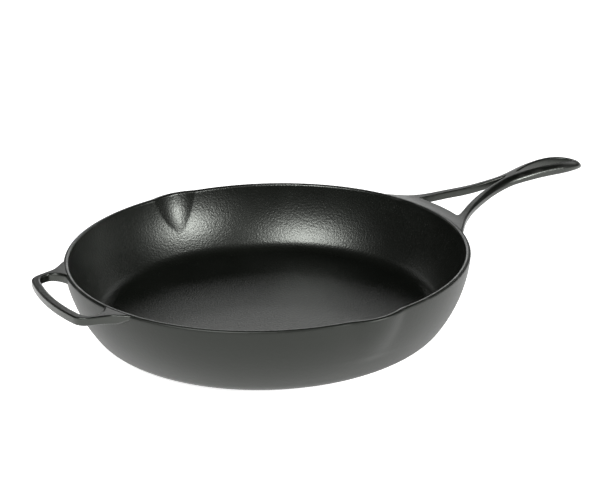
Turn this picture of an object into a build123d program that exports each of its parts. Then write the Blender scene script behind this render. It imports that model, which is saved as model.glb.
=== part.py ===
from build123d import *
import math
import os

# Cast iron skillet with a forked long handle and a helper loop.
# Millimetres. The origin is the centre of the base, on the surface the skillet rests on.
# +Z is up, +X points along the long handle, and the pour spouts face +Y and -Y.
# The whole pan is one casting. It is modelled as its named regions, which meet face to face.

# Bowl
rim_radius = 157.0
pan_height = 58.2
wall_thickness = 4.0
floor_thickness = 4.5
wall_lean = 3.3
belly_radius = 98.9
corner_radius = 18.3
rim_band_height = 12.0
ring_below_spouts = 7.2
floor_disc_inset = 1.5

# Pour spouts: scoops pressed outwards into the wall, round in plan and curved in depth
spout_angle = 91.0
spout_reach = 3.7
spout_radius = 41.0
spout_depth = 32.0
spout_bulge = 1.8
spout_half_angle = 10.5
spout_region_margin = 5.0
spout_below = 1.2

# Long handle: distance past the rim, half width, and height of its top above the rim
handle_root_stations = ((-13.0, 60.0, 0.0), (0.0, 47.0, 0.0), (9.0, 36.5, 0.0))
handle_leg_stations = ((28.0, 24.8, 3.0), (48.0, 15.7, 6.5), (64.0, 10.2, 9.3))
handle_neck_stations = ((79.0, 8.6, 12.0), (95.0, 10.2, 14.4))
handle_grip_stations = ((113.0, 12.5, 16.2), (132.0, 14.3, 16.4), (147.0, 12.6, 14.9))
handle_length = 162.5
nose_length = 5.0
nose_half_width = 9.3
nose_rise = 12.6
tip_half_width = 4.4
tip_rise = 10.0
tip_thickness = 4.6
handle_thickness = 7.8
handle_crown = 6.0
handle_crown_drop = 4.4
handle_low_round = 2.0
leg_width = 8.4
rail_width = 6.9
bridge_width = 11.0
fork_distance = 79.0
hang_hole_start = 93.0
hang_hole_widest = 132.0
hang_hole_end_width = 8.0
neck_margin = 2.0
narrow_end_radius = 1.5
corner_share = 0.7
fork_slope = 0.2

# Helper loop
helper_reach = 25.5
helper_half_width = 43.0
helper_arm_half_width = 47.8
helper_root_half_angle = 21.0
helper_bar_width = 6.2
helper_arm_width = 5.4
helper_thickness = 5.6
helper_corner_round = 6.0
helper_arm_split = 12.0
helper_inner_root_half_angle = 19.0

# Share of a rounded edge that its arc's middle keeps off the corner
arc_share = 0.3

# Height of the rim, how far cutters reach past what they cut, and the height of tall cutters
rim_z = pan_height
spill = 5.0
tall_z = rim_z * 3
wide = rim_radius * 2

# The spout regions stop above the side wall's whole ring, which stands on the bottom corner
spout_region_depth = spout_depth + spout_region_margin
corner_band_height = rim_z - spout_region_depth - ring_below_spouts


def arc_point(start, radius, start_angle, angle):
    """A point of an arc that bends inward as it goes down; angles are from the vertical."""
    across = start[0] + radius * (math.cos(angle) - math.cos(start_angle))
    down = start[1] - radius * (math.sin(angle) - math.sin(start_angle))
    return (across, down)


def bowl_edges(top_radius, belly, corner, bottom_z):
    """The wall's belly arc, then the corner arc that meets a flat bottom."""
    lean = math.radians(wall_lean)
    drop = rim_z - bottom_z
    join_sine = (drop - corner + belly * math.sin(lean)) / (belly - corner)
    join = math.asin(join_sine)
    top = (top_radius, rim_z)
    middle = arc_point(top, belly, lean, (lean + join) / 2)
    knee = arc_point(top, belly, lean, join)
    corner_middle = arc_point(knee, corner, join, (join + math.pi / 2) / 2)
    foot = arc_point(knee, corner, join, math.pi / 2)
    return top, middle, knee, corner_middle, foot


def bowl_solid(top_radius, belly, corner, bottom_z, above):
    """A filled bowl shape, turned about Z, that reaches above the rim by the given amount."""
    top, middle, knee, corner_middle, foot = bowl_edges(top_radius, belly, corner, bottom_z)
    outline = [
        ThreePointArc(top, middle, knee),
        ThreePointArc(knee, corner_middle, foot),
        Line(foot, (0, bottom_z)),
    ]
    if above > 0:
        outline.append(Line((0, bottom_z), (0, rim_z + above)))
        outline.append(Line((0, rim_z + above), (top_radius, rim_z + above)))
        outline.append(Line((top_radius, rim_z + above), top))
    else:
        outline.append(Line((0, bottom_z), (0, rim_z)))
        outline.append(Line((0, rim_z), top))
    face = make_face(Plane.XZ * Curve(outline))
    return revolve(face, Axis.Z)


def box_between(low, high):
    """A box given by two corners."""
    size = [b - a for a, b in zip(low, high)]
    middle = [(a + b) / 2 for a, b in zip(low, high)]
    return Pos(*middle) * Box(*size)


def disc(radius, low_z, high_z):
    """A plain disc about Z between two heights."""
    return Pos(0, 0, (low_z + high_z) / 2) * Cylinder(radius, high_z - low_z)


def wall_reach(top_radius, belly, depth):
    """The radius of a wall face at a depth below the rim, on its belly arc."""
    lean = math.radians(wall_lean)
    angle = math.asin(math.sin(lean) + depth / belly)
    return top_radius + belly * (math.cos(angle) - math.cos(lean))


def spout_scoop(side, top_radius, belly):
    """One spout's scoop, turned about an upright axis; side is +1 or -1 along Y."""
    centre = rim_radius + spout_reach - wall_thickness - spout_radius
    lip = top_radius + spout_reach - centre
    tip = wall_reach(top_radius, belly, spout_depth) - centre
    middle = (lip + tip) / 2 + spout_bulge
    outline = [
        Line((0, rim_z + spill), (lip, rim_z + spill)),
        Line((lip, rim_z + spill), (lip, rim_z)),
        ThreePointArc((lip, rim_z), (middle, rim_z - spout_depth / 2), (tip, rim_z - spout_depth)),
        Line((tip, rim_z - spout_depth), (0, rim_z - spout_depth * spout_below)),
        Line((0, rim_z - spout_depth * spout_below), (0, rim_z + spill)),
    ]
    scoop = revolve(make_face(Plane.XZ * Curve(outline)), Axis.Z)
    angle = math.radians(spout_angle)
    return Pos(centre * math.cos(angle), side * centre * math.sin(angle), 0) * scoop


def wedge(centre_angle, half_angle, low_z):
    """A slice of space about Z, from low_z upwards, between two upright planes."""
    left = math.radians(centre_angle + half_angle)
    right = math.radians(centre_angle - half_angle)
    points = [
        (0, 0),
        (wide * math.cos(right), wide * math.sin(right)),
        (wide * math.cos(left), wide * math.sin(left)),
    ]
    face = make_face(Polyline(*points, close=True))
    return Pos(0, 0, low_z) * extrude(face, rim_z + spill - low_z, dir=(0, 0, 1))


def mirrored_face(half_edges):
    """A flat face from the edges of its +Y half, closed by their mirror image in the X axis."""
    other_half = [edge.mirror(Plane.XZ) for edge in half_edges]
    return make_face(Curve(list(half_edges) + other_half))


def handle_section(distance, half_width, rise, thickness):
    """A cross section of the long handle: flat middle, crowned edges, round lower corners."""
    top = rim_z + rise
    crown = min(handle_crown, half_width * corner_share)
    drop = min(handle_crown_drop, thickness / 2)
    low = top - thickness
    shoulder = (half_width, top - drop)
    crown_start = (half_width - crown, top)
    crown_middle = (half_width - crown * arc_share, top - drop * arc_share)
    foot = (half_width, low + handle_low_round)
    heel = (half_width - handle_low_round, low)
    inset = handle_low_round * arc_share
    heel_middle = (half_width - inset, low + inset)
    right_side = [
        Line((0, top), crown_start),
        ThreePointArc(crown_start, crown_middle, shoulder),
        Line(shoulder, foot),
        ThreePointArc(foot, heel_middle, heel),
        Line(heel, (0, low)),
    ]
    left_side = [edge.mirror(Plane.YZ) for edge in right_side]
    place = Plane(origin=(rim_radius + distance, 0, 0), x_dir=(0, 1, 0), z_dir=(1, 0, 0))
    return place * make_face(Curve(right_side + left_side))


def handle_body():
    """The long handle with no holes: a loft that flares at the rim and ends in a round nose."""
    stations = handle_root_stations + handle_leg_stations + handle_neck_stations
    stations += handle_grip_stations
    sections = [handle_section(*station, handle_thickness) for station in stations]
    nose = handle_length - nose_length
    sections.append(handle_section(nose, nose_half_width, nose_rise, handle_thickness - 1))
    sections.append(handle_section(handle_length, tip_half_width, tip_rise, tip_thickness))
    return loft(sections)


def round_end(centre_x, radius, toward):
    """A quarter circle from the X axis to the side of a narrow round end; toward is +1 or -1."""
    diagonal = radius / math.sqrt(2)
    return ThreePointArc(
        (centre_x + toward * radius, 0),
        (centre_x + toward * diagonal, diagonal),
        (centre_x, radius),
    )


def triangle_hole():
    """The gap between the two legs, bounded towards the pan by the bridge."""
    inner_radius = rim_radius + bridge_width
    points = []
    for distance, half_width, rise in handle_leg_stations[:2]:
        points.append((rim_radius + distance, half_width - leg_width))
    corner_angle = math.atan2(points[0][1] + leg_width * corner_share, inner_radius)
    start = (inner_radius * math.cos(corner_angle), inner_radius * math.sin(corner_angle))
    end_x = rim_radius + fork_distance - narrow_end_radius
    slope = (points[0][0] - start[0], points[0][1] - start[1])
    side = Spline([start] + points + [(end_x, narrow_end_radius)], tangents=[slope, (1, -fork_slope)])
    middle = (inner_radius * math.cos(corner_angle / 2), inner_radius * math.sin(corner_angle / 2))
    bridge_edge = ThreePointArc((inner_radius, 0), middle, start)
    return mirrored_face([bridge_edge, side, round_end(end_x, narrow_end_radius, 1)])


def hang_hole():
    """The long teardrop hole at the end of the handle."""
    start_x = rim_radius + hang_hole_start + narrow_end_radius
    end = (rim_radius + handle_length - hang_hole_end_width, 0)
    widest_half = handle_grip_stations[1][1] - rail_width
    widest = (rim_radius + hang_hole_widest, widest_half)
    side = Spline([(start_x, narrow_end_radius), widest, end], tangents=[(1, fork_slope), (0, -1)])
    return mirrored_face([round_end(start_x, narrow_end_radius, -1), side])


def tall(face):
    """A plan face drawn up through the whole height of the handle."""
    return extrude(face, tall_z, dir=(0, 0, 1))


def helper_plan(reach, bar_half_width, arm_half_width, root_angle, corner_round):
    """A loop outline: a bar concentric with the rim, round corners, arms flared at the rim."""
    bar_radius = rim_radius + reach
    turn = math.asin(bar_half_width / bar_radius)
    corner = (-bar_radius * math.cos(turn), bar_radius * math.sin(turn))
    arm_foot = (-rim_radius - helper_arm_split / 2, arm_half_width)
    slope = Vector(arm_foot[0] - corner[0], arm_foot[1] - corner[1]).normalized()
    root = math.radians(root_angle)
    root_point = (-rim_radius * math.cos(root), rim_radius * math.sin(root))
    edges = [
        Line((root_point[0], 0), root_point),
        Spline(
            [root_point, arm_foot],
            tangents=[(-math.sin(root), -math.cos(root)), (-slope.X, -slope.Y)],
        ),
        Line(arm_foot, corner),
        ThreePointArc(
            corner,
            (-bar_radius * math.cos(turn / 2), bar_radius * math.sin(turn / 2)),
            (-bar_radius, 0),
        ),
    ]
    face = mirrored_face(edges)
    corners = face.vertices().filter_by(lambda v: abs(v.X - corner[0]) < 0.01)
    return fillet(corners, corner_round)


# The bowl, whole: outer shape with both spout bulges, less the inside with both grooves.
outer_shape = bowl_solid(rim_radius, belly_radius, corner_radius, 0, 0)
inner_shape = bowl_solid(
    rim_radius - wall_thickness,
    belly_radius - wall_thickness,
    corner_radius - wall_thickness,
    floor_thickness,
    spill,
)
below_rim = disc(wide, 0, rim_z)
for side in (1, -1):
    outer_shape += spout_scoop(side, rim_radius, belly_radius) & below_rim
    inner_shape += spout_scoop(side, rim_radius - wall_thickness, belly_radius - wall_thickness)
bowl = outer_shape - inner_shape

# Regions of the bowl
floor_radius = bowl_edges(rim_radius, belly_radius, corner_radius, 0)[4][0] - floor_disc_inset
floor_cutter = disc(floor_radius, -spill, floor_thickness + spill)
band_z = rim_z - rim_band_height
rim_cutter = disc(wide, band_z, tall_z)
spout_low_z = rim_z - spout_region_depth
left_wedge = wedge(spout_angle, spout_half_angle, spout_low_z)
right_wedge = wedge(-spout_angle, spout_half_angle, spout_low_z)
wall_and_rim = bowl - floor_cutter - left_wedge - right_wedge
rim_ring = wall_and_rim & rim_cutter
corner_cutter = disc(rim_radius, -spill, corner_band_height)
handle_half = box_between((0, -wide, -spill), (wide, wide, tall_z))

parts = {
    "cooking_floor": bowl & floor_cutter,
    "bottom_corner": wall_and_rim & corner_cutter,
    "side_wall": wall_and_rim - rim_cutter - corner_cutter,
    "rim_handle_side": rim_ring & handle_half,
    "rim_helper_side": rim_ring - handle_half,
    "pour_spout_left": bowl & left_wedge,
    "pour_spout_right": bowl & right_wedge,
}

# The long handle, whole, then cut into its regions
long_handle = handle_body() - tall(triangle_hole()) - tall(hang_hole()) - outer_shape
bridge_disc = disc(rim_radius + bridge_width + neck_margin, 0, tall_z)
neck_low_x = rim_radius + fork_distance + neck_margin
neck_high_x = rim_radius + hang_hole_start - neck_margin
grip_end_x = rim_radius + hang_hole_widest + rail_width
far_x = rim_radius + handle_length * 2


def slab(low_x, high_x, low_y, high_y):
    """An upright block of space between two X and two Y values."""
    return box_between((low_x, low_y, -spill), (high_x, high_y, tall_z))


legs = (long_handle - bridge_disc) & slab(0, neck_low_x, -rim_radius, rim_radius)
parts["handle_bridge"] = long_handle & bridge_disc
parts["handle_leg_left"] = legs & slab(0, far_x, 0, rim_radius)
parts["handle_leg_right"] = legs & slab(0, far_x, -rim_radius, 0)
parts["handle_neck"] = long_handle & slab(neck_low_x, neck_high_x, -rim_radius, rim_radius)
parts["grip_rail_left"] = long_handle & slab(neck_high_x, grip_end_x, 0, rim_radius)
parts["grip_rail_right"] = long_handle & slab(neck_high_x, grip_end_x, -rim_radius, 0)
parts["grip_end"] = long_handle & slab(grip_end_x, far_x, -rim_radius, rim_radius)

# The helper loop, whole, then cut into its bar and two arms
helper_outer = helper_plan(
    helper_reach,
    helper_half_width,
    helper_arm_half_width,
    helper_root_half_angle,
    helper_corner_round,
)
helper_inner = helper_plan(
    helper_reach - helper_bar_width,
    helper_half_width - helper_arm_width,
    helper_arm_half_width - helper_arm_width,
    helper_inner_root_half_angle,
    helper_corner_round - helper_arm_width / 2,
)
helper_low_z = rim_z - helper_thickness
helper_slab = box_between((-wide, -rim_radius, helper_low_z), (0, rim_radius, rim_z))
helper_loop = (tall(helper_outer - helper_inner) & helper_slab) - outer_shape
bar_x = -rim_radius - helper_arm_split
parts["helper_bar"] = helper_loop & slab(-wide, bar_x, -rim_radius, rim_radius)
parts["helper_arm_left"] = helper_loop & slab(bar_x, 0, 0, rim_radius)
parts["helper_arm_right"] = helper_loop & slab(bar_x, 0, -rim_radius, 0)

os.makedirs("parts", exist_ok=True)
for name, shape in parts.items():
    export_step(shape, "parts/" + name + ".step")
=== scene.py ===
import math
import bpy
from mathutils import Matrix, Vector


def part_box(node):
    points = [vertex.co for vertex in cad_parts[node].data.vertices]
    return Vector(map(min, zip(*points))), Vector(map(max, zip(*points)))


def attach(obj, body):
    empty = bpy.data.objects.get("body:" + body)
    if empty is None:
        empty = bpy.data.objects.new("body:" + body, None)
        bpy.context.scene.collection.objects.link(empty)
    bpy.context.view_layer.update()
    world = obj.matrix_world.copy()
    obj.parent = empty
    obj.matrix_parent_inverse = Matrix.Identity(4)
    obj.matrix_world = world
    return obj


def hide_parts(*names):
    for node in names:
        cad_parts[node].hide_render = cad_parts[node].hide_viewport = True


bl_info = {
    "name": "Cast Iron Skillet",
    "version": (1, 0, 0),
    "blender": (4, 5, 0),
    "location": "View3D > Sidebar > Skillet",
    "description": "Builds the bowl, the forked handle and the helper loop of a cast iron skillet",
    "category": "Add Mesh",
}

import bpy
import numpy as np
from mathutils import Vector

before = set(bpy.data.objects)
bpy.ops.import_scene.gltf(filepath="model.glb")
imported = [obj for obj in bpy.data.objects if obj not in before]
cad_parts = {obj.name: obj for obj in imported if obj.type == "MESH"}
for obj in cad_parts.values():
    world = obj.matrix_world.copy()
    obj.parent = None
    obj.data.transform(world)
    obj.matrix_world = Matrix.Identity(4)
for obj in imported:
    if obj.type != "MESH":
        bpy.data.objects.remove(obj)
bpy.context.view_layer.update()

RIM_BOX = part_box("rim_handle_side")
BASE_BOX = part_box("cooking_floor")
GRIP_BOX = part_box("grip_end")
MM = 0.001

# The plan tables below are in millimetres: distance from the bowl's axis, half width.
# Plan of the long handle's outer edge, left half.
HANDLE_OUTER = (
    (140.6, 66.4),
    (144.6, 60.6),
    (150.0, 53.9),
    (157.0, 46.4),
    (165.5, 37.6),
    (175.0, 30.2),
    (195.0, 19.8),
    (215.0, 12.3),
    (235.0, 8.8),
    (262.0, 11.4),
    (290.0, 14.3),
)
# Plan of the inner edge of a leg, from beside the bridge towards the fork.
LEG_INNER = ((171.0, 23.6), (185.0, 16.2), (205.0, 7.5), (222.0, 3.3), (234.0, 1.2))
FORK_CORNER = (166.0, 26.6)
# In millimetres, distance from the bowl's axis with the height of the handle's top, and below
# it the same distance with the handle's thickness.
HANDLE_RISE = (
    (150.0, 57.1),
    (162.0, 57.2),
    (172.0, 58.5),
    (185.0, 61.2),
    (205.0, 64.6),
    (225.0, 68.2),
    (245.0, 71.5),
    (265.0, 73.9),
    (283.0, 74.5),
    (298.0, 73.7),
    (310.0, 71.8),
    (319.5, 69.2),
)
HANDLE_DEPTH = ((150.0, 6.2), (185.0, 6.6), (235.0, 7.6), (300.0, 7.8), (319.5, 5.4))
# Plan of the helper loop's arms, from the rim out to the corners.
HELPER_ARM_OUTER = (
    (141.0, 63.8),
    (144.6, 61.6),
    (148.0, 58.4),
    (151.5, 55.2),
    (155.6, 52.2),
    (162.0, 50.1),
    (169.0, 48.0),
)
HELPER_ARM_INNER = ((152.4, 33.0), (154.2, 37.4), (157.0, 41.6), (162.0, 44.2), (168.0, 43.0))
# Half widths of the helper loop at each corner point, and where the bar begins.
HELPER_INNER_CORNER = (40.8, 35.0)
HELPER_OUTER_CORNER = (45.8, 38.6)

# Sizes from here on are in metres.
# Rows of the bowl's section (wall, corner) and steps of each lip round; columns round the bowl.
INSIDE_ROWS = (52, 14)
OUTSIDE_ROWS = (46, 14)
LIP_STEPS = 8
BOWL_COLUMNS = 608
# Radii of the rings on the flat floor and base, and how far they keep from the corner.
FLAT_RADII = (0.002, 0.02, 0.045, 0.07, 0.09, 0.107, 0.119)
FLAT_MARGIN = 0.004
# Columns crowd together at the spouts: how much more densely, and over what angle.
SPOUT_CROWDING = 1.9
SPOUT_CROWD_ANGLE = 0.17
# Softness of a spout's crease inside, and what is added to it outside.
SPOUT_SOFT = 0.0002
SPOUT_SOFT_OUTSIDE = 0.0013
# The spout fades out over this share of its depth, and is gone at the end share.
SPOUT_FADE_END = 1.2
SPOUT_FADE_SPAN = 0.2

# The bridge's share of the fork corner's angle, and how much wider its hidden edge spreads.
BRIDGE_SHARE = 0.90
BRIDGE_SPREAD = 1.15
# Powers that fill out the hang hole and blunt the nose.
HANG_HOLE_POWER = 0.85
NOSE_POWER = 2 / 2.25
# The crown grows along the handle from a least share to the whole.
CROWN_START = 0.150
CROWN_GROWTH = 0.085
CROWN_LEAST = 0.3
# Depth of the lower rounds over their width, at the outer edge and round the holes.
LOW_EDGE_SHARE = 0.9
LOW_HOLE_SHARE = 0.8

# The helper loop's top lies this far below the rim.
HELPER_DROP = 0.0002
# The extra thickness at the rim fades over this distance.
HELPER_ROOT_REACH = 0.014
# The roots thin by a share, from a half width onwards, over a span.
HELPER_THINNING = 0.72
HELPER_THIN_FROM = 0.0515
HELPER_THIN_SPAN = 0.0095
# Depth of the loop's upper round over its width, and width of the lower round over the upper.
HELPER_TOP_SHARE = 0.8
HELPER_LOW_WIDTH = 1.6

# Wear bands: width, place in widths from the edge, and how far below the top they reach.
HANDLE_WEAR = (0.0016, 0.9, 0.0035)
HELPER_WEAR = (0.0012, 0.6, 0.0022)

# Grain of each finish: scale of the pebbles, shares, and the bump's strength and height.
# On the bowl the wear share also sets the painted glints on the rim.
INSIDE_GRAIN = {
    "scale": 600.0,
    "waves": 0.2,
    "pits": 0.2,
    "wear": 0.2,
    "strength": 0.42,
    "height": 0.0006,
}
OUTSIDE_GRAIN = {
    "scale": 420.0,
    "waves": 0.5,
    "pits": 0.1,
    "wear": 0.1,
    "strength": 0.16,
    "height": 0.0005,
}
HANDLE_GRAIN = {
    "scale": 520.0,
    "waves": 0.4,
    "pits": 0.2,
    "wear": 0.12,
    "strength": 0.22,
    "height": 0.0005,
}
# Scale of the waves and of the pits, over the scale of the pebbles.
WAVE_SCALE = 0.14
PIT_SCALE = 0.42
# Places of the two colour inputs and the colour output of a Mix node.
MIX_FIRST, MIX_SECOND, MIX_RESULT = 6, 7, 2

# Half the floor's side, and its gap under the base.
FLOOR_HALF = 40.0
FLOOR_GAP = 0.0004
SENSOR_WIDTH = 36.0
LENS_SHIFT = (0.0517, 0.1056)
LIGHT_TARGET = (0.0, 0.0, 0.03)
# Studio lights: name, turn from the camera and height in degrees, distance, size, power in watts.
SOFTBOXES = (
    ("right_low", 54.0, 21.0, 1.6, (0.50, 0.36), 25.0),
    ("left_near", -21.0, 45.0, 1.6, (0.34, 0.34), 15.0),
    ("left_far", -43.0, 43.0, 1.6, (0.40, 0.38), 13.0),
    ("back_low", 180.0, 13.0, 1.8, (0.90, 0.50), 3.0),
    ("back", 180.0, 27.0, 1.8, (0.90, 0.50), 1.7),
    ("back_right", 140.0, 25.0, 1.8, (0.90, 0.50), 1.6),
    ("back_left", 225.0, 25.0, 1.8, (0.90, 0.50), 1.1),
)


# ---------------------------------------------------------------- settings


def length(name, text, value):
    """A length setting in metres, shown in the scene's units."""
    return bpy.props.FloatProperty(
        name=name, description=text, default=value, min=0.0, unit="LENGTH", precision=5
    )


def colour(name, text, value):
    """A linear colour setting."""
    return bpy.props.FloatVectorProperty(
        name=name, description=text, default=value, size=3, min=0.0, max=1.0, subtype="COLOR"
    )


def factor(name, text, value, top=1.0):
    """A plain number setting between nought and a top value."""
    return bpy.props.FloatProperty(name=name, description=text, default=value, min=0.0, max=top)


def angle(name, text, degrees):
    """An angle setting, given in degrees."""
    return bpy.props.FloatProperty(
        name=name, description=text, default=math.radians(degrees), subtype="ANGLE"
    )


class SkilletBowlSettings(bpy.types.PropertyGroup):
    """Sizes of the bowl, its rim and its two spouts."""

    rim_radius: length("Rim radius", "Outer radius of the rim", 0.157)
    height: length("Height", "Height of the rim over the base", RIM_BOX[1][2])
    wall: length("Wall", "Thickness of the wall", 0.004)
    floor: length("Floor", "Thickness of the floor", BASE_BOX[1][2])
    lean: angle("Lean", "Lean of the wall at the rim", 3.3)
    belly: length("Belly radius", "Radius of the wall's long curve", 0.0989)
    corner: length("Corner radius", "Radius of the bottom corner", 0.0183)
    rim_outer_round: length("Outer rim round", "Radius of the rim's outer edge", 0.0017)
    rim_inner_round: length("Inner rim round", "Radius of the rim's inner edge", 0.0020)
    spout_angle: angle("Spout angle", "Turn of each spout from the long handle", 91.0)
    spout_reach: length("Spout reach", "How far a lip stands out of the rim", 0.0037)
    spout_radius: length("Spout radius", "Radius of a spout in plan", 0.041)
    spout_depth: length("Spout depth", "Depth of a spout below the rim", 0.032)
    spout_bulge: length("Spout bulge", "Roundness of a spout in depth", 0.0018)


class SkilletHandleSettings(bpy.types.PropertyGroup):
    """Sizes of the long handle and the helper loop."""

    tip: length("Tip", "Distance from the bowl's axis to the handle's tip", GRIP_BOX[1][0])
    bridge: length("Bridge radius", "Radius of the bridge's outer edge", 0.168)
    fork: length("Fork", "Distance of the fork's narrow end", 0.2362)
    hang_start: length("Hang hole start", "Where the hang hole begins", 0.2495)
    hang_widest: length("Hang hole widest", "Where the hang hole is widest", 0.290)
    hang_half_width: length("Hang hole half width", "Half width of the hang hole", 0.0073)
    nose: length("Nose", "Width of the iron beyond the hang hole", 0.0080)
    crown: length("Crown", "Width of the rounded outer edge", 0.0060)
    crown_drop: length("Crown drop", "Fall of the rounded outer edge", 0.0044)
    inner_round: length("Inner round", "Radius of the edges round the holes", 0.0010)
    low_round: length("Low round", "Radius of the lower edges", 0.0024)
    helper_reach: length("Helper reach", "Radius of the helper bar's outer edge", 0.1825)
    helper_bar: length("Helper bar", "Width of the helper bar", 0.0062)
    helper_depth: length("Helper depth", "Thickness of the helper loop", 0.0064)
    helper_root_depth: length("Helper root depth", "Extra thickness next to the rim", 0.0012)
    helper_round: length("Helper round", "Radius of the helper loop's edges", 0.0011)
    helper_aside: length("Helper aside", "How far the loop sits off the middle line", 0.0019)


class SkilletFinishSettings(bpy.types.PropertyGroup):
    """Colours and surface of the iron."""

    iron: colour("Iron", "Deep tone of the seasoning", (0.0012, 0.0016, 0.0010))
    haze: colour("Haze", "Tone of the lighter patches", (0.0030, 0.0035, 0.0027))
    # Lighter colour of rubbed edges; on the rim it also stands for painted glints.
    worn_and_glint: colour("Worn And Glint", "Tone of rubbed edges", (0.10, 0.10, 0.095))
    sheen: colour("Sheen", "Tint of what the oil skin reflects", (0.955, 1.0, 0.935))
    inside_roughness: factor("Inside roughness", "Gloss of the cooking surface", 0.31)
    outside_roughness: factor("Outside roughness", "Gloss of the outer wall", 0.42)
    handle_roughness: factor("Handle roughness", "Gloss of the handles", 0.28)
    grain: factor("Grain", "Height of the cast grain", 0.8)
    inside_refraction: factor("Inside refraction", "Index of the oil skin inside", 1.6, 4.0)
    handle_refraction: factor("Handle refraction", "Index of the handles' oil skin", 1.55, 4.0)
    outside_refraction: factor("Outside refraction", "Index of the oil skin outside", 1.41, 4.0)


class SkilletStageSettings(bpy.types.PropertyGroup):
    """Camera, lights and floor."""

    azimuth: angle("Azimuth", "Turn of the camera about the bowl", -29.9)
    elevation: angle("Elevation", "Height of the camera as an angle", 24.12)
    roll: angle("Roll", "Roll of the camera", -1.82)
    distance: length("Distance", "Distance from the camera to the base", 1.067)
    lens: bpy.props.FloatProperty(name="Lens", description="Focal length in mm", default=80.6)
    floor: colour("Floor", "Colour of the floor", (0.86, 0.86, 0.85))
    light: factor("Light", "Strength of the studio lights", 1.0, 10.0)
    floor_glow: factor("Floor glow", "Light given off by the floor", 0.9, 10.0)
    sky: factor("Sky", "Strength of the even light from all round", 0.0, 10.0)


# ---------------------------------------------------------------- curves


def through(points, count):
    """A smooth plan curve through the points: cubic pieces by distance run, with mean slopes."""
    points = np.asarray(points, dtype=float)
    run = np.concatenate([[0.0], np.cumsum(np.hypot(*np.diff(points, axis=0).T))])
    at = np.linspace(0.0, run[-1], count)
    return np.stack([smooth(run, points[:, 0], at), smooth(run, points[:, 1], at)], axis=-1)


def smooth(stations, values, at):
    """A smooth value along stations: cubic Hermite pieces whose slopes are weighted means."""
    slopes = np.gradient(values, stations)
    piece = np.clip(np.searchsorted(stations, at) - 1, 0, len(stations) - 2)
    width = stations[piece + 1] - stations[piece]
    t = np.clip((at - stations[piece]) / width, 0.0, 1.0)
    keep = 2 * t**3 - 3 * t**2 + 1
    lean = t**3 - 2 * t**2 + t
    back = t**3 - t**2
    start = keep * values[piece] + lean * width * slopes[piece]
    return start + (1 - keep) * values[piece + 1] + back * width * slopes[piece + 1]


def table_at(table, at):
    """A smooth value read from pairs of place and value."""
    pairs = np.asarray(table, dtype=float)
    return smooth(pairs[:, 0], pairs[:, 1], np.clip(at, pairs[0, 0], pairs[-1, 0]))


def rounded_corner(start, corner, end, count):
    """A round corner: the quadratic curve from start to end that leans on the corner point."""
    t = np.linspace(0.0, 1.0, count)[:, None]
    start, corner, end = (np.asarray(p, dtype=float) for p in (start, corner, end))
    return (1 - t) ** 2 * start + 2 * t * (1 - t) * corner + t**2 * end


def distance_to(points, outline):
    """Distance from each plan point to the nearest stretch of an outline of short segments."""
    flat = points.reshape(-1, 1, 2)
    start = outline[:-1]
    step = np.diff(outline, axis=0)
    share = ((flat - start) * step).sum(-1) / np.maximum((step**2).sum(-1), 1e-12)
    near = start + np.clip(share, 0.0, 1.0)[..., None] * step
    return np.sqrt(((flat - near) ** 2).sum(-1)).min(axis=1).reshape(points.shape[:-1])


def edge_fall(distance, width, fall):
    """Fall of a rounded edge: a quarter ellipse from the full fall at the edge to none inside."""
    inward = np.clip(1 - distance / width, 0.0, 1.0)
    return fall * (1 - np.sqrt(1 - inward**2))


def wear_band(distance, width, place):
    """A soft band of wear along an edge: a bell curve, strongest at place widths from it."""
    return np.exp(-((distance / width - place) ** 2))


# ---------------------------------------------------------------- meshes


def grid_faces(rows, columns, close_columns):
    """Four-cornered faces of a grid of points, numbered row by row."""
    index = np.arange(rows * columns).reshape(rows, columns)
    if close_columns:
        index = np.concatenate([index, index[:, :1]], axis=1)
    return np.stack([index[:-1, :-1], index[1:, :-1], index[1:, 1:], index[:-1, 1:]], axis=-1)


def weld(points, faces, values):
    """Joins points that lie at one place, and leaves out points that no face uses."""
    used = np.unique(faces)
    keys = np.round(points[used] / 1e-8).astype(np.int64)
    _, first, place = np.unique(keys, axis=0, return_index=True, return_inverse=True)
    lookup = np.zeros(len(points), dtype=np.int64)
    lookup[used] = place.reshape(-1)
    return points[used][first], lookup[faces], values[used][first]


def make_piece(name, points, faces, wear, materials, choice=None):
    """A smooth-shaded object from points and faces, with its mask of wear, and of painted glints on
    the rim, as a point attribute.
    """
    mesh = bpy.data.meshes.new(name)
    mesh.from_pydata(points.tolist(), [], faces)
    mesh.validate()
    mesh.polygons.foreach_set("use_smooth", np.ones(len(mesh.polygons), dtype=bool))
    attribute = mesh.attributes.new("edge_wear_and_glint", "FLOAT", "POINT")
    attribute.data.foreach_set("value", wear.astype(np.float32))
    for material in materials:
        mesh.materials.append(material)
    if choice is not None:
        mesh.polygons.foreach_set("material_index", choice.astype(np.int32))
    mesh.update()
    piece = bpy.data.objects.new(name, mesh)
    bpy.context.scene.collection.objects.link(piece)
    return piece


def strip_sections(inner, outer, across, top, low, side_rows):
    """Closed cross sections of a strip between two plan curves, one for each pair of points.

    Each section runs along the top from the inner to the outer curve, down the outer side, back
    along the bottom and up the inner side. Heights come from the top and low functions.
    """
    share = (1 - np.cos(np.linspace(0.0, math.pi, across))) / 2
    plan = inner[:, None, :] + (outer - inner)[:, None, :] * share[None, :, None]
    top_z = top(plan)
    low_z = low(plan)
    down = (np.arange(side_rows) + 1) / (side_rows + 1)
    outer_z = top_z[:, -1:] + (low_z[:, -1:] - top_z[:, -1:]) * down
    inner_z = low_z[:, :1] + (top_z[:, :1] - low_z[:, :1]) * down
    side = (len(inner), side_rows, 2)
    plans = [plan, np.broadcast_to(plan[:, -1:], side), plan[:, ::-1]]
    plans.append(np.broadcast_to(plan[:, :1], side))
    heights = np.concatenate([top_z, outer_z, low_z[:, ::-1], inner_z], axis=1)
    return np.concatenate([np.concatenate(plans, axis=1), heights[..., None]], axis=-1)


# ---------------------------------------------------------------- bowl


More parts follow.
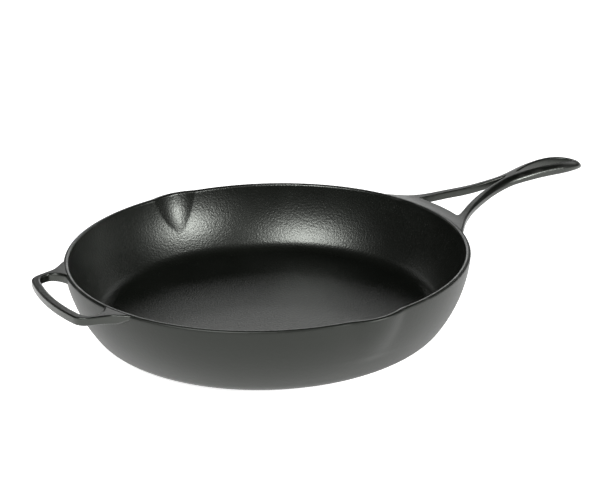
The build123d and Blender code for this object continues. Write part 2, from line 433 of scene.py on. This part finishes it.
def wall_arc(top_radius, top_z, belly, corner, lean, bottom_z, from_depth, rows):
    """Half of the bowl's section, from below the rim down to where the flat begins.

    The wall is an arc that starts with the lean at the rim and curves in until it meets the
    corner's arc with one tangent, and that arc ends flat at the bottom.
    """
    drop = top_z - bottom_z
    join = math.asin((drop - corner + belly * math.sin(lean)) / (belly - corner))
    start = math.asin(math.sin(lean) + from_depth / belly)
    turn = np.linspace(start, join, rows[0])
    radius = top_radius + belly * (np.cos(turn) - math.cos(lean))
    height = top_z - belly * (np.sin(turn) - math.sin(lean))
    bend = np.linspace(join, math.pi / 2, rows[1])[1:]
    bend_radius = radius[-1] + corner * (np.cos(bend) - math.cos(join))
    bend_height = height[-1] - corner * (np.sin(bend) - math.sin(join))
    return np.concatenate([radius, bend_radius]), np.concatenate([height, bend_height])


def bowl_section(bowl):
    """The bowl's whole section, from the middle of the floor over the rim to the base's middle.

    Returns radius, height and the share of the way from the inner to the outer face for each
    row, then the number of rows inside and on the lip.
    """
    inner_top = bowl.rim_radius - bowl.wall
    inner = wall_arc(
        inner_top,
        bowl.height,
        bowl.belly - bowl.wall,
        bowl.corner - bowl.wall,
        bowl.lean,
        bowl.floor,
        bowl.rim_inner_round,
        INSIDE_ROWS,
    )
    outer = wall_arc(
        bowl.rim_radius,
        bowl.height,
        bowl.belly,
        bowl.corner,
        bowl.lean,
        0.0,
        bowl.rim_outer_round,
        OUTSIDE_ROWS,
    )
    turn = np.linspace(0.0, math.pi / 2, LIP_STEPS)[1:]
    lip_in = inner[0][0] + bowl.rim_inner_round * (1 - np.cos(turn))
    lip_in_z = bowl.height - bowl.rim_inner_round * (1 - np.sin(turn))
    lip_out = outer[0][0] - bowl.rim_outer_round * (1 - np.cos(turn))
    lip_out_z = bowl.height - bowl.rim_outer_round * (1 - np.sin(turn))
    floor_radius = np.array(FLAT_RADII)
    floor_radius = floor_radius[floor_radius < inner[0][-1] - FLAT_MARGIN]
    base_radius = floor_radius[floor_radius < outer[0][-1] - FLAT_MARGIN]
    radius = [floor_radius, inner[0][::-1], lip_in, lip_out[::-1], outer[0], base_radius[::-1]]
    flat_floor = np.full(len(floor_radius), bowl.floor)
    flat_base = np.zeros(len(base_radius))
    height = [flat_floor, inner[1][::-1], lip_in_z, lip_out_z[::-1], outer[1], flat_base]
    radius = np.concatenate(radius)
    height = np.concatenate(height)
    inside_rows = len(floor_radius) + len(inner[0])
    lip_rows = len(lip_in) + len(lip_out)
    share = np.zeros(len(radius))
    across = (radius - inner_top) / bowl.wall
    share[inside_rows : inside_rows + lip_rows] = across[inside_rows : inside_rows + lip_rows]
    share[inside_rows + lip_rows :] = 1.0
    return radius, height, np.clip(share, 0.0, 1.0), inside_rows, lip_rows


def spout_push(bowl, turn, depth, side):
    """How far a spout moves a wall face outwards, at each turn and depth.

    A spout is a scoop whose plan is a circle, with a radius that shrinks with depth along a
    parabola until the scoop meets the wall. The face is the softened larger of the two radii.
    """
    inset = bowl.wall * (1 - side)
    lean = bowl.lean
    belly = bowl.belly - inset
    top_radius = bowl.rim_radius - inset
    swing = np.arcsin(np.clip(math.sin(lean) + depth / belly, -1.0, 1.0))
    wall = top_radius + belly * (np.cos(swing) - math.cos(lean))
    tip_swing = math.asin(math.sin(lean) + bowl.spout_depth / belly)
    tip_wall = top_radius + belly * (math.cos(tip_swing) - math.cos(lean))
    centre = bowl.rim_radius + bowl.spout_reach - bowl.wall - bowl.spout_radius
    lip = top_radius + bowl.spout_reach - centre
    share = depth / bowl.spout_depth
    scoop = lip + (tip_wall - centre - lip) * share + 4 * bowl.spout_bulge * share * (1 - share)
    aside = centre * np.sin(turn)
    within = (np.abs(turn) < math.pi / 2) & (scoop > np.abs(aside))
    reach = centre * np.cos(turn) + np.sqrt(np.maximum(scoop**2 - aside**2, 0.0))
    reach = np.where(within, reach, 0.0)
    soft = SPOUT_SOFT + SPOUT_SOFT_OUTSIDE * side
    gap = reach - wall
    fade = np.clip((SPOUT_FADE_END - share) / SPOUT_FADE_SPAN, 0.0, 1.0)
    return (gap + np.sqrt(gap**2 + soft**2)) / 2 * fade**2 * (3 - 2 * fade)


def bowl_turns(bowl, count):
    """Angles round the bowl, closer together at the two spouts."""
    even = np.linspace(0.0, 2 * math.pi, 4001)
    left = bowl.spout_angle
    near = np.minimum(np.abs(even - left), np.abs(even - (2 * math.pi - left)))
    density = 1 + SPOUT_CROWDING * np.exp(-((near / SPOUT_CROWD_ANGLE) ** 4))
    run = np.concatenate([[0.0], np.cumsum((density[1:] + density[:-1]) / 2)])
    return np.interp(np.linspace(0.0, run[-1], count + 1)[:-1], run, even)


def bowl_mesh(bowl):
    """The bowl: its section turned about the upright axis, with both spouts pushed out."""
    radius, height, share, inside_rows, lip_rows = bowl_section(bowl)
    turns = bowl_turns(bowl, BOWL_COLUMNS)
    depth = (bowl.height - height)[:, None]
    push = np.zeros((len(radius), len(turns)))
    for spout in (bowl.spout_angle, -bowl.spout_angle):
        turn = (turns - spout + math.pi) % (2 * math.pi) - math.pi
        inner = spout_push(bowl, turn[None, :], depth, 0)
        outer = spout_push(bowl, turn[None, :], depth, 1)
        push += inner * (1 - share[:, None]) + outer * share[:, None]
    moved = radius[:, None] + push
    heights = np.broadcast_to(height[:, None], moved.shape)
    points = np.stack([moved * np.cos(turns), moved * np.sin(turns), heights], axis=-1)
    faces = grid_faces(len(radius), len(turns), True).reshape(-1, 4)
    count = points.shape[0] * points.shape[1]
    last_ring = np.arange(count - len(turns), count)
    poles = np.array([[0.0, 0.0, bowl.floor], [0.0, 0.0, 0.0]])
    first_ring = np.arange(len(turns))
    floor_pole = np.full(len(turns), count)
    floor_fan = np.stack([np.roll(first_ring, -1), floor_pole, first_ring], axis=-1)
    base_fan = np.stack([last_ring, floor_pole + 1, np.roll(last_ring, -1)], axis=-1)
    all_points = np.concatenate([points.reshape(-1, 3), poles])
    all_faces = faces.tolist() + floor_fan.tolist() + base_fan.tolist()
    row = np.repeat(np.arange(len(radius) - 1), len(turns))
    outside = (row >= inside_rows + lip_rows // 2).astype(int)
    choice = np.concatenate([outside, np.zeros(len(turns)), np.ones(len(turns))])
    # The whole lip takes the edge mask: rubbed bare iron, and lighter painted glints along the rim.
    level = np.arange(len(radius))
    lip_wear_and_glint = ((level >= inside_rows) & (level < inside_rows + lip_rows)).astype(float)
    wear = np.concatenate([np.repeat(lip_wear_and_glint, len(turns)), [0.0, 0.0]])
    return all_points, all_faces, wear, choice


# ---------------------------------------------------------------- long handle


def handle_curves(sizes, bowl):
    """The left half's inner and outer plan curves, matched point to point, in metres.

    The inner curve runs along the bridge, round the corner, up the leg to the fork, along the
    middle of the neck, and round the hang hole to its far end. The outer curve runs inside the
    bowl's wall, along the flared root and the grip, and round the nose.
    """
    outline = through(HANDLE_OUTER, 400) * MM
    leg = np.asarray(LEG_INNER, dtype=float) * MM
    buried = bowl.rim_radius - bowl.wall * 0.5
    corner = np.asarray(FORK_CORNER) * MM
    turn = math.atan2(corner[1], corner[0])
    base_turn = np.linspace(0.0, turn * BRIDGE_SHARE, 26)
    base = np.stack([np.cos(base_turn), np.sin(base_turn)], axis=-1) * sizes.bridge
    wide_turn = base_turn * BRIDGE_SPREAD
    base_out = np.stack([np.cos(wide_turn), np.sin(wide_turn)], axis=-1) * buried
    bend = rounded_corner(base[-1], corner, leg[0], 49)[1:]
    root_turn = math.atan2(outline[0, 1], outline[0, 0])
    hidden_turn = np.linspace(turn * BRIDGE_SHARE * BRIDGE_SPREAD, root_turn, 25)[1:]
    hidden = np.stack([np.cos(hidden_turn), np.sin(hidden_turn)], axis=-1) * buried
    root_x = outline[0, 0] + (leg[0, 0] - outline[0, 0]) * np.linspace(0.0, 1.0, 24)
    flare = np.stack([root_x, np.interp(root_x, outline[:, 0], outline[:, 1])], axis=-1)
    leg_line = through(leg, 200)
    end = sizes.fork - leg[-1, 1]
    leg_x = np.linspace(leg[0, 0], end, 64)[1:]
    leg_y = np.interp(leg_x, leg_line[:, 0], leg_line[:, 1])
    fork_turn = np.linspace(0.0, math.pi / 2, 10)[1:]
    fork = np.stack([end + leg[-1, 1] * np.sin(fork_turn), leg[-1, 1] * np.cos(fork_turn)], axis=-1)
    neck_x = np.linspace(sizes.fork, sizes.hang_start, 12)[1:]
    neck = np.stack([neck_x, np.zeros(len(neck_x))], axis=-1)
    share = 1 - np.cos(np.linspace(0.0, math.pi / 2, 44)[1:])
    hole_x = sizes.hang_start + (sizes.hang_widest - sizes.hang_start) * share
    hole_y = sizes.hang_half_width * np.sin(share * math.pi / 2) ** HANG_HOLE_POWER
    hole = np.stack([hole_x, hole_y], axis=-1)
    sweep = np.linspace(0.0, math.pi / 2, 44)[1:]
    hole_end = sizes.tip - sizes.nose - sizes.hang_widest
    cap = np.stack(
        [
            sizes.hang_widest + hole_end * np.sin(sweep),
            sizes.hang_half_width * np.cos(sweep),
        ],
        axis=-1,
    )
    cap[-1, 1] = 0.0
    nose = np.stack(
        [
            sizes.hang_widest + (sizes.tip - sizes.hang_widest) * np.sin(sweep) ** NOSE_POWER,
            outline[-1, 1] * np.cos(sweep) ** NOSE_POWER,
        ],
        axis=-1,
    )
    nose[-1, 1] = 0.0
    inner = np.concatenate([base, bend, np.stack([leg_x, leg_y], axis=-1), fork, neck, hole, cap])
    straight = np.concatenate([leg_x, fork[:, 0], neck_x, hole_x])
    side = np.stack([straight, np.interp(straight, outline[:, 0], outline[:, 1])], axis=-1)
    outer = np.concatenate([base_out, hidden, flare, side, nose])
    solid_from = len(base) + len(bend) + len(leg_x) + len(fork) - 1
    return inner, outer, outline, nose, (solid_from, solid_from + len(neck_x))


def handle_mesh(sizes, bowl):
    """The long handle: a strip between its plan curves, mirrored, with holes and round edges.

    The top follows the handle's rise, less a quarter ellipse at the outer edge and a smaller one
    round each hole; the bottom lies one thickness lower, with its own rounded edges.
    """
    inner, outer, outline, nose, neck = handle_curves(sizes, bowl)
    mirror = np.array([1.0, -1.0])
    visible = np.concatenate([outline, nose])
    edge_outline = np.concatenate([visible, visible[::-1] * mirror])
    fork_loop = inner[: neck[0] + 1]
    fork_loop = np.concatenate([fork_loop, fork_loop[::-1] * mirror])
    hang_loop = inner[neck[1] :]
    hang_loop = np.concatenate([hang_loop, hang_loop[::-1] * mirror])

    def edge_distances(plan):
        hole = np.minimum(distance_to(plan, fork_loop), distance_to(plan, hang_loop))
        return distance_to(plan, edge_outline), hole

    def top(plan):
        rim, hole = edge_distances(plan)
        grown = np.clip((plan[..., 0] - CROWN_START) / CROWN_GROWTH, CROWN_LEAST, 1.0)
        height = table_at(HANDLE_RISE, plan[..., 0] / MM) * MM
        fall = edge_fall(rim, sizes.crown * grown, sizes.crown_drop * grown)
        return height - fall - edge_fall(hole, sizes.inner_round, sizes.inner_round)

    def low(plan):
        rim, hole = edge_distances(plan)
        height = table_at(HANDLE_RISE, plan[..., 0] / MM) * MM
        height = height - table_at(HANDLE_DEPTH, plan[..., 0] / MM) * MM
        rise = edge_fall(rim, sizes.low_round, sizes.low_round * LOW_EDGE_SHARE)
        return height + rise + edge_fall(hole, sizes.low_round, sizes.low_round * LOW_HOLE_SHARE)

    side_rows = 5
    loops = strip_sections(inner, outer, 28, top, low, side_rows)
    stations, around = loops.shape[:2]
    faces = grid_faces(stations, around, True)
    inner_side = np.arange(around) >= around - side_rows - 1
    station = np.arange(stations - 1)
    in_neck = (station >= neck[0]) & (station < neck[1])
    faces = faces[~(in_neck[:, None] & inner_side[None, :])]
    points = loops.reshape(-1, 3)
    rim = distance_to(points[:, :2], edge_outline)
    width, place, reach = HANDLE_WEAR
    upper = points[:, 2] > table_at(HANDLE_RISE, points[:, 0] / MM) * MM - reach
    wear = wear_band(rim, width, place) * upper
    other = points * np.array([1.0, -1.0, 1.0])
    all_faces = np.concatenate([faces, faces[:, ::-1] + len(points)])
    return weld(np.concatenate([points, other]), all_faces, np.concatenate([wear, wear]))


# ---------------------------------------------------------------- helper loop


def helper_curves(sizes):
    """The helper loop's inner and outer plan curves, matched point to point, in metres."""
    halves = []
    arms = (
        (HELPER_ARM_INNER, sizes.helper_reach - sizes.helper_bar, HELPER_INNER_CORNER),
        (HELPER_ARM_OUTER, sizes.helper_reach, HELPER_OUTER_CORNER),
    )
    for arm, reach, half_widths in arms:
        corner_y, bar_y = (half_width * MM for half_width in half_widths)
        line = through(arm, 40) * MM
        corner = np.array([math.sqrt(reach**2 - corner_y**2), corner_y])
        bar_turn = math.asin(bar_y / reach)
        start = reach * np.array([math.cos(bar_turn), math.sin(bar_turn)])
        bend = rounded_corner(line[-1], corner, start, 20)[1:]
        turn = np.linspace(bar_turn, 0.0, 30)[1:]
        bar = reach * np.stack([np.cos(turn), np.sin(turn)], axis=-1)
        half = np.concatenate([line, bend, bar])
        whole = np.concatenate([half, half[-2::-1] * np.array([1.0, -1.0])])
        halves.append(whole * np.array([-1.0, 1.0]) + np.array([0.0, sizes.helper_aside]))
    return halves


def helper_mesh(sizes, bowl):
    """The helper loop: a strip between two plan curves, level with the rim, with round edges."""
    inner, outer = helper_curves(sizes)
    level = bowl.height - HELPER_DROP

    def near(plan):
        return np.minimum(distance_to(plan, inner), distance_to(plan, outer))

    def top(plan):
        fall = edge_fall(near(plan), sizes.helper_round, sizes.helper_round * HELPER_TOP_SHARE)
        return level - fall

    def low(plan):
        past_rim = np.hypot(plan[..., 0], plan[..., 1]) - bowl.rim_radius
        near_rim = np.clip(1 - past_rim / HELPER_ROOT_REACH, 0, 1)
        thick = sizes.helper_depth + sizes.helper_root_depth * near_rim
        aside = np.clip((np.abs(plan[..., 1]) - HELPER_THIN_FROM) / HELPER_THIN_SPAN, 0, 1)
        thick = thick * (1 - HELPER_THINNING * aside)
        width = sizes.helper_round * HELPER_LOW_WIDTH
        return level - thick + edge_fall(near(plan), width, sizes.helper_round)

    loops = strip_sections(inner, outer, 16, top, low, 4)
    stations, around = loops.shape[:2]
    faces = grid_faces(stations, around, True).reshape(-1, 4)
    points = loops.reshape(-1, 3)
    caps = [list(range(around - 1, -1, -1)), list(range(len(points) - around, len(points)))]
    edge = distance_to(points[:, :2], outer)
    width, place, reach = HELPER_WEAR
    wear = wear_band(edge, width, place) * (points[:, 2] > level - reach)
    return points, faces[:, ::-1].tolist() + caps, wear


# ---------------------------------------------------------------- finish


def group_socket(group, name, kind, way, value=None):
    """Adds a named input or output to a node group."""
    socket = group.interface.new_socket(name=name, in_out=way, socket_type=kind)
    if value is not None:
        socket.default_value = value


def add_node(tree, kind, **settings):
    """Adds a node and sets its own properties."""
    node = tree.nodes.new(kind)
    for name, value in settings.items():
        setattr(node, name, value)
    return node


def feed(tree, operand, socket):
    """Gives an input its value: a link from another socket, or a plain number."""
    if isinstance(operand, (int, float)):
        socket.default_value = operand
    else:
        tree.links.new(operand, socket)


def maths(tree, operation, first, second):
    """A Math node; each operand is a socket or a number."""
    node = add_node(tree, "ShaderNodeMath", operation=operation)
    for socket, operand in zip(node.inputs, (first, second)):
        feed(tree, operand, socket)
    return node.outputs[0]


def spread(tree, value, low, high, to_low, to_high):
    """A Map Range node from one span of values to another."""
    node = add_node(tree, "ShaderNodeMapRange")
    tree.links.new(value, node.inputs["Value"])
    spans = (("From Min", low), ("From Max", high), ("To Min", to_low), ("To Max", to_high))
    for name, operand in spans:
        feed(tree, operand, node.inputs[name])
    return node.outputs["Result"]


def noise(tree, vector, scale, detail, roughness):
    """A Noise Texture on the given coordinates; the scale is a socket or a number."""
    node = add_node(tree, "ShaderNodeTexNoise")
    tree.links.new(vector, node.inputs["Vector"])
    feed(tree, scale, node.inputs["Scale"])
    node.inputs["Detail"].default_value = detail
    node.inputs["Roughness"].default_value = roughness
    return node.outputs["Fac"]


def mix_colour(tree, share, first, second):
    """A colour mix; the share, and both colours, are sockets."""
    node = add_node(tree, "ShaderNodeMix", data_type="RGBA")
    tree.links.new(share, node.inputs["Factor"])
    tree.links.new(first, node.inputs[MIX_FIRST])
    tree.links.new(second, node.inputs[MIX_SECOND])
    return node.outputs[MIX_RESULT]


def cast_grain_group():
    """Node group: the height of sand-cast grain, fine pebbles over soft waves, with rare pits."""
    group = bpy.data.node_groups.new("cast_grain", "ShaderNodeTree")
    group_socket(group, "Pebble Scale", "NodeSocketFloat", "INPUT", 900.0)
    group_socket(group, "Wave Share", "NodeSocketFloat", "INPUT", 0.35)
    group_socket(group, "Pit Share", "NodeSocketFloat", "INPUT", 0.3)
    group_socket(group, "Height", "NodeSocketFloat", "OUTPUT")
    given = add_node(group, "NodeGroupInput")
    result = add_node(group, "NodeGroupOutput")
    place = add_node(group, "ShaderNodeTexCoord").outputs["Object"]
    pebbles = noise(group, place, given.outputs["Pebble Scale"], 2.0, 0.5)
    slow = maths(group, "MULTIPLY", given.outputs["Pebble Scale"], WAVE_SCALE)
    waves = noise(group, place, slow, 2.0, 0.5)
    cells = add_node(group, "ShaderNodeTexVoronoi", feature="F1")
    group.links.new(place, cells.inputs["Vector"])
    cell_scale = maths(group, "MULTIPLY", given.outputs["Pebble Scale"], PIT_SCALE)
    group.links.new(cell_scale, cells.inputs["Scale"])
    pit_places = noise(group, place, cell_scale, 1.0, 0.5)
    pits = spread(group, cells.outputs["Distance"], 0.05, 0.30, 1.0, 0.0)
    rare = spread(group, pit_places, 0.56, 0.68, 0.0, 1.0)
    pits = maths(group, "MULTIPLY", pits, rare)
    swell = maths(group, "MULTIPLY", waves, given.outputs["Wave Share"])
    height = maths(group, "ADD", pebbles, swell)
    sunk = maths(group, "MULTIPLY", pits, given.outputs["Pit Share"])
    group.links.new(maths(group, "SUBTRACT", height, sunk), result.inputs["Height"])
    return group


def seasoning_group():
    """Node group: patchy tone and gloss of baked-on oil, and a lighter colour on rubbed edges,
    which on the rim also paints glints.
    """
    group = bpy.data.node_groups.new("oil_seasoning", "ShaderNodeTree")
    group_socket(group, "Deep", "NodeSocketColor", "INPUT")
    group_socket(group, "Haze", "NodeSocketColor", "INPUT")
    group_socket(group, "Worn And Glint", "NodeSocketColor", "INPUT")
    group_socket(group, "Wear And Glint", "NodeSocketFloat", "INPUT", 0.5)
    group_socket(group, "Patch Scale", "NodeSocketFloat", "INPUT", 26.0)
    group_socket(group, "Roughness", "NodeSocketFloat", "INPUT", 0.45)
    group_socket(group, "Roughness Spread", "NodeSocketFloat", "INPUT", 0.06)
    group_socket(group, "Color", "NodeSocketColor", "OUTPUT")
    group_socket(group, "Roughness", "NodeSocketFloat", "OUTPUT")
    given = add_node(group, "NodeGroupInput")
    result = add_node(group, "NodeGroupOutput")
    place = add_node(group, "ShaderNodeTexCoord").outputs["Object"]
    patches = noise(group, place, given.outputs["Patch Scale"], 5.0, 0.6)
    fine = noise(group, place, 420.0, 3.0, 0.6)
    speckled = maths(group, "ADD", patches, maths(group, "MULTIPLY", fine, 0.35))
    share = spread(group, speckled, 0.45, 0.95, 0.0, 1.0)
    tone = mix_colour(group, share, given.outputs["Deep"], given.outputs["Haze"])
    # The edge mask puts the lighter colour on rubbed edges; on the rim it also paints glints.
    edge = add_node(group, "ShaderNodeAttribute", attribute_name="edge_wear_and_glint").outputs["Fac"]
    broken = spread(group, noise(group, place, 45.0, 3.0, 0.6), 0.58, 0.66, 0.0, 1.0)
    rubbed_and_glint = maths(group, "MULTIPLY", maths(group, "MULTIPLY", edge, broken), given.outputs["Wear And Glint"])
    tone = mix_colour(group, rubbed_and_glint, tone, given.outputs["Worn And Glint"])
    half = maths(group, "MULTIPLY", given.outputs["Roughness Spread"], 0.5)
    uneven = maths(group, "SUBTRACT", patches, 0.5)
    lift = maths(group, "MULTIPLY", uneven, given.outputs["Roughness Spread"])
    rough = maths(group, "ADD", given.outputs["Roughness"], maths(group, "ADD", lift, half))
    rough = maths(group, "SUBTRACT", rough, maths(group, "MULTIPLY", rubbed_and_glint, 0.12))
    group.links.new(tone, result.inputs["Color"])
    group.links.new(rough, result.inputs["Roughness"])
    return group


def iron_material(name, finish, roughness, refraction, grain):
    """Seasoned cast iron: black oil skin over grain; grain holds the group's values."""
    grain_group = bpy.data.node_groups.get("cast_grain") or cast_grain_group()
    tone_group = bpy.data.node_groups.get("oil_seasoning") or seasoning_group()
    material = bpy.data.materials.new(name)
    material.use_nodes = True
    tree = material.node_tree
    shader = tree.nodes["Principled BSDF"]
    shader.inputs["IOR"].default_value = refraction
    shader.inputs["Specular Tint"].default_value = (*finish.sheen, 1.0)
    relief = add_node(tree, "ShaderNodeGroup", node_tree=grain_group)
    relief.inputs["Pebble Scale"].default_value = grain["scale"]
    relief.inputs["Wave Share"].default_value = grain["waves"]
    relief.inputs["Pit Share"].default_value = grain["pits"]
    tone = add_node(tree, "ShaderNodeGroup", node_tree=tone_group)
    tone.inputs["Deep"].default_value = (*finish.iron, 1.0)
    tone.inputs["Haze"].default_value = (*finish.haze, 1.0)
    # The lighter colour and its share: rubbed edges, and painted glints on the rim.
    tone.inputs["Worn And Glint"].default_value = (*finish.worn_and_glint, 1.0)
    tone.inputs["Wear And Glint"].default_value = grain["wear"]
    tone.inputs["Roughness"].default_value = roughness
    bump = add_node(tree, "ShaderNodeBump")
    bump.inputs["Strength"].default_value = finish.grain * grain["strength"]
    bump.inputs["Distance"].default_value = grain["height"]
    tree.links.new(relief.outputs["Height"], bump.inputs["Height"])
    tree.links.new(bump.outputs["Normal"], shader.inputs["Normal"])
    tree.links.new(tone.outputs["Color"], shader.inputs["Base Color"])
    tree.links.new(tone.outputs["Roughness"], shader.inputs["Roughness"])
    return material


# ---------------------------------------------------------------- operators


class SKILLET_OT_bowl(bpy.types.Operator):
    """Make the bowl with its rim and both pour spouts"""

    bl_idname = "skillet.bowl"
    bl_label = "Make Bowl"

    def execute(self, context):
        finish = context.scene.skillet_finish
        inside = iron_material(
            "cooking_surface",
            finish,
            finish.inside_roughness,
            finish.inside_refraction,
            INSIDE_GRAIN,
        )
        outside = iron_material(
            "outer_wall",
            finish,
            finish.outside_roughness,
            finish.outside_refraction,
            OUTSIDE_GRAIN,
        )
        points, faces, wear, choice = bowl_mesh(context.scene.skillet_bowl)
        piece = make_piece("bowl", points, faces, wear, (inside, outside), choice)
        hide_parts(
            "cooking_floor",
            "bottom_corner",
            "side_wall",
            "rim_handle_side",
            "rim_helper_side",
            "pour_spout_left",
            "pour_spout_right",
        )
        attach(piece, "root")
        return {"FINISHED"}


class SKILLET_OT_long_handle(bpy.types.Operator):
    """Make the forked long handle with its bridge and hang hole"""

    bl_idname = "skillet.long_handle"
    bl_label = "Make Long Handle"

    def execute(self, context):
        finish = context.scene.skillet_finish
        material = iron_material(
            "handle_finish",
            finish,
            finish.handle_roughness,
            finish.handle_refraction,
            HANDLE_GRAIN,
        )
        scene = context.scene
        points, faces, wear = handle_mesh(scene.skillet_handles, scene.skillet_bowl)
        piece = make_piece("long_handle", points, faces.tolist(), wear, (material,))
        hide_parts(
            "handle_bridge",
            "handle_leg_left",
            "handle_leg_right",
            "handle_neck",
            "grip_rail_left",
            "grip_rail_right",
            "grip_end",
        )
        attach(piece, "root")
        return {"FINISHED"}


class SKILLET_OT_helper_loop(bpy.types.Operator):
    """Make the helper loop opposite the long handle"""

    bl_idname = "skillet.helper_loop"
    bl_label = "Make Helper Loop"

    def execute(self, context):
        material = bpy.data.materials.get("handle_finish")
        if material is None:
            raise RuntimeError("make the long handle first: the helper loop shares its iron")
        scene = context.scene
        points, faces, wear = helper_mesh(scene.skillet_handles, scene.skillet_bowl)
        piece = make_piece("helper_loop", points, faces, wear, (material,))
        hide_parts("helper_bar", "helper_arm_left", "helper_arm_right")
        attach(piece, "root")
        return {"FINISHED"}


def aim(thing, target):
    """Turns a light or camera so that its -Z axis points at the target."""
    thing.rotation_euler = (Vector(target) - thing.location).to_track_quat("-Z", "Y").to_euler()


def softbox(name, place, size, power):
    """A rectangular studio light that faces the skillet."""
    light = bpy.data.lights.new(name, "AREA")
    light.shape = "RECTANGLE"
    light.size, light.size_y = size
    light.energy = power
    lamp = bpy.data.objects.new(name, light)
    lamp.location = place
    bpy.context.scene.collection.objects.link(lamp)
    aim(lamp, LIGHT_TARGET)


def seen_from(azimuth, elevation, distance):
    """A point at a turn and height about the skillet; turn 0 is on the -Y side."""
    flat = math.cos(elevation) * distance
    return (math.sin(azimuth) * flat, -math.cos(azimuth) * flat, math.sin(elevation) * distance)


class SKILLET_OT_stage(bpy.types.Operator):
    """Make the floor, the studio lights and the camera"""

    bl_idname = "skillet.stage"
    bl_label = "Make Stage"

    def execute(self, context):
        scene = context.scene
        stage = scene.skillet_stage
        half = FLOOR_HALF
        mesh = bpy.data.meshes.new("floor")
        corners = [(-half, -half, 0.0), (half, -half, 0.0), (half, half, 0.0), (-half, half, 0.0)]
        mesh.from_pydata(corners, [], [(0, 1, 2, 3)])
        paint = bpy.data.materials.new("floor_paint")
        paint.use_nodes = True
        shader = paint.node_tree.nodes["Principled BSDF"]
        shader.inputs["Base Color"].default_value = (*stage.floor, 1.0)
        shader.inputs["Roughness"].default_value = 0.9
        shader.inputs["Emission Color"].default_value = (1.0, 1.0, 1.0, 1.0)
        shader.inputs["Emission Strength"].default_value = stage.floor_glow
        mesh.materials.append(paint)
        ground = bpy.data.objects.new("floor", mesh)
        ground.location.z = -FLOOR_GAP
        scene.collection.objects.link(ground)

        world = bpy.data.worlds.new("studio")
        world.use_nodes = True
        background = world.node_tree.nodes["Background"]
        background.inputs["Color"].default_value = (1.0, 1.0, 1.0, 1.0)
        background.inputs["Strength"].default_value = stage.sky
        scene.world = world
        scene.view_settings.view_transform = "Standard"

        turn = stage.azimuth
        for name, aside, up, away, size, power in SOFTBOXES:
            place = seen_from(turn + math.radians(aside), math.radians(up), away)
            softbox(name, place, size, power * stage.light)

        data = bpy.data.cameras.new("camera")
        data.lens = stage.lens
        data.sensor_width = SENSOR_WIDTH
        data.shift_x, data.shift_y = LENS_SHIFT
        data.dof.use_dof = False
        camera = bpy.data.objects.new("camera", data)
        camera.location = seen_from(turn, stage.elevation, stage.distance)
        scene.collection.objects.link(camera)
        aim(camera, (0.0, 0.0, 0.0))
        camera.rotation_euler.rotate_axis("Z", stage.roll)
        scene.camera = camera
        return {"FINISHED"}


class SKILLET_PT_panel(bpy.types.Panel):
    """Lists the steps that build the skillet"""

    bl_idname = "SKILLET_PT_panel"
    bl_label = "Skillet"
    bl_space_type = "VIEW_3D"
    bl_region_type = "UI"
    bl_category = "Skillet"

    def draw(self, context):
        for step in STEPS:
            self.layout.operator(step.bl_idname)


SETTINGS = {
    "skillet_bowl": SkilletBowlSettings,
    "skillet_handles": SkilletHandleSettings,
    "skillet_finish": SkilletFinishSettings,
    "skillet_stage": SkilletStageSettings,
}
STEPS = (SKILLET_OT_stage, SKILLET_OT_bowl, SKILLET_OT_long_handle, SKILLET_OT_helper_loop)


def register():
    """Registers the settings, the steps and the panel."""
    for name, group in SETTINGS.items():
        bpy.utils.register_class(group)
        setattr(bpy.types.Scene, name, bpy.props.PointerProperty(type=group))
    for step in STEPS:
        bpy.utils.register_class(step)
    bpy.utils.register_class(SKILLET_PT_panel)


def unregister():
    """Takes the panel, the steps and the settings away again."""
    bpy.utils.unregister_class(SKILLET_PT_panel)
    for step in reversed(STEPS):
        bpy.utils.unregister_class(step)
    for name, group in SETTINGS.items():
        delattr(bpy.types.Scene, name)
        bpy.utils.unregister_class(group)


def main():
    """Builds everything in order."""
    register()
    bpy.ops.skillet.stage()
    bpy.ops.skillet.bowl()
    bpy.ops.skillet.long_handle()
    bpy.ops.skillet.helper_loop()


if __name__ == "__main__":
    main()
